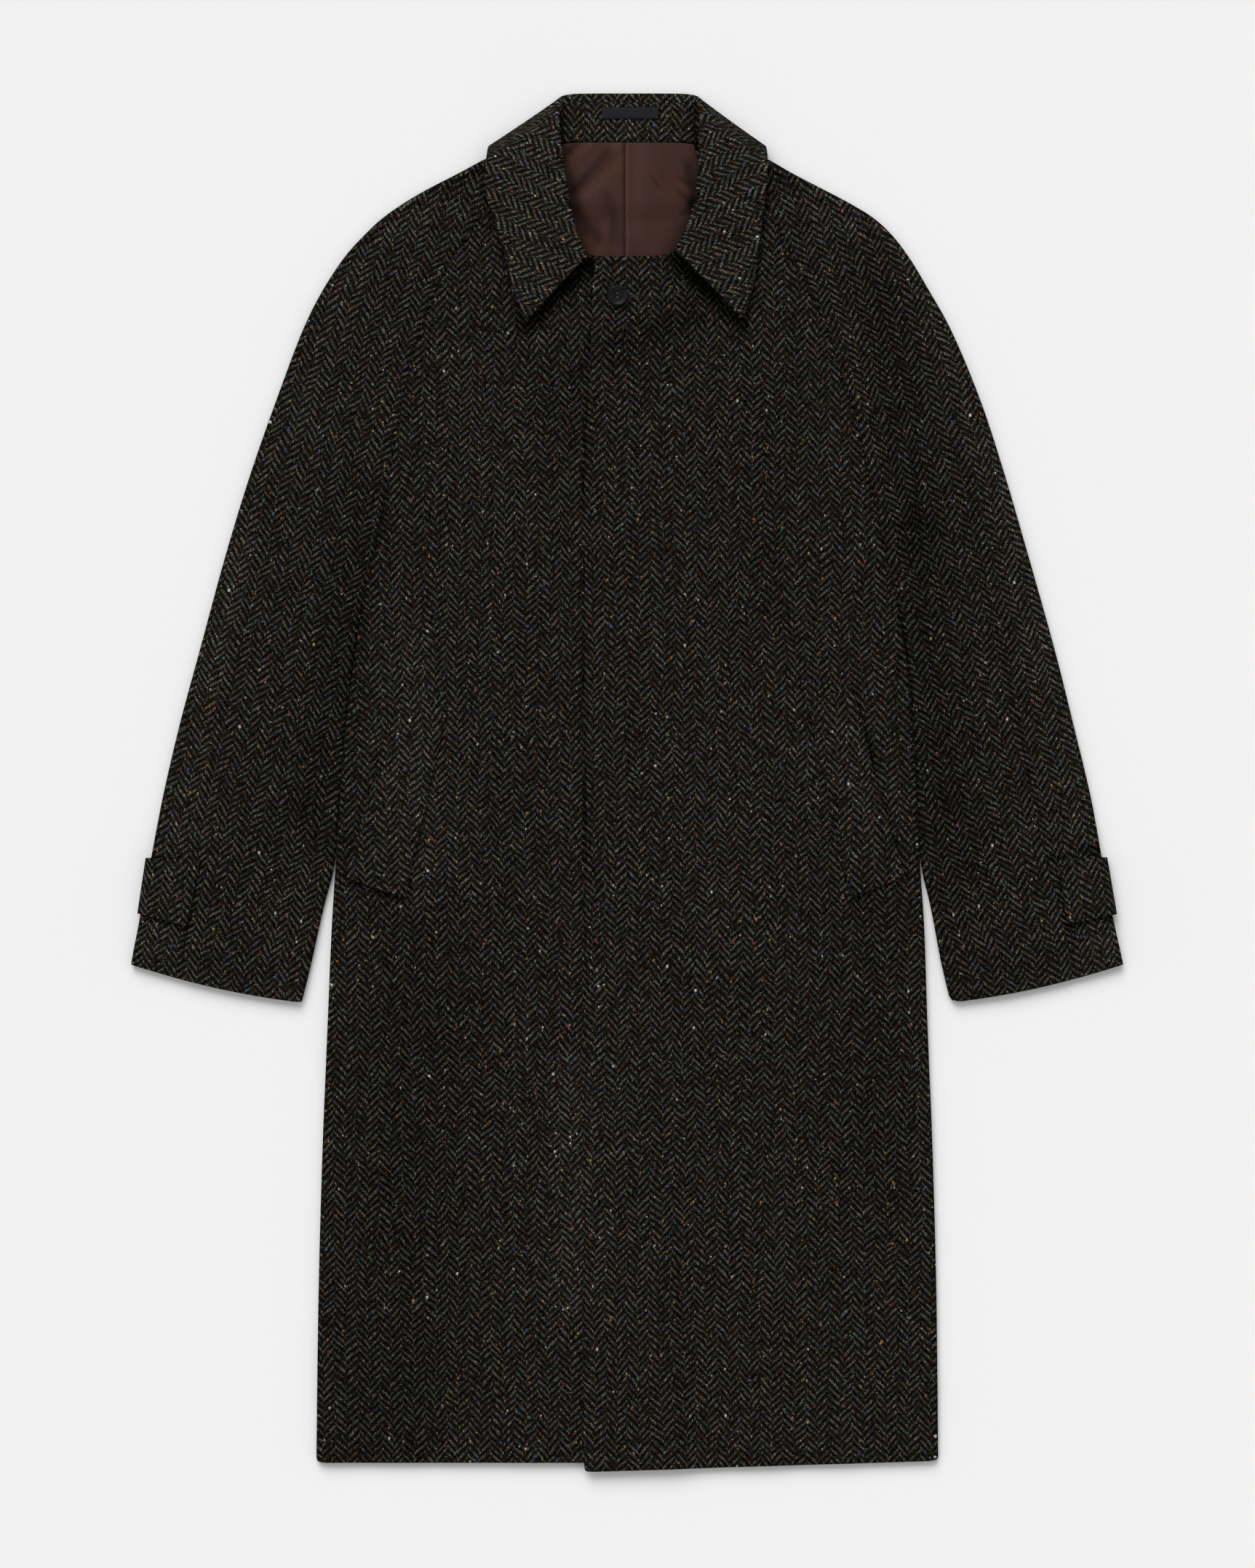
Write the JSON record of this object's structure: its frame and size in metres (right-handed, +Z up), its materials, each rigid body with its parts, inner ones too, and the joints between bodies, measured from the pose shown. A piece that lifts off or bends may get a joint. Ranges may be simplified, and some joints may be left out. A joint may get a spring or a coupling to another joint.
{
  "type": "wool overcoat",
  "caption": "Knee-length herringbone wool overcoat with raglan sleeves, a fly front and a turn-down collar, laid flat with its front up.",
  "frame": {"origin": "on the surface that the coat lies on, below the middle of its outline", "axes": "+X towards the coat's own left sleeve, +Y from the hem to the collar, +Z up"},
  "size_m": [0.8467, 1.1762, 0.0236],
  "materials": {
    "tweed": "brushed herringbone wool tweed",
    "lining": "twill lining with a soft sheen",
    "label": "blank woven tape",
    "button": "polished cast resin",
    "thread": "sewing thread"
  },
  "bodies": {
    "root": {"back": "tweed", "front_left": "tweed", "front_right": "tweed", "sleeve_left_front": "tweed", "sleeve_left_back": "tweed", "sleeve_right_front": "tweed", "sleeve_right_back": "tweed", "collar_fall": "tweed", "collar_stand": "tweed", "pocket_welt_left": "tweed", "pocket_welt_right": "tweed", "cuff_strap_left": "tweed", "cuff_strap_right": "tweed", "lining_left": "lining", "lining_right": "lining", "neck_label": "label", "button": "button", "button_thread": "thread"}
  },
  "joints": []
}
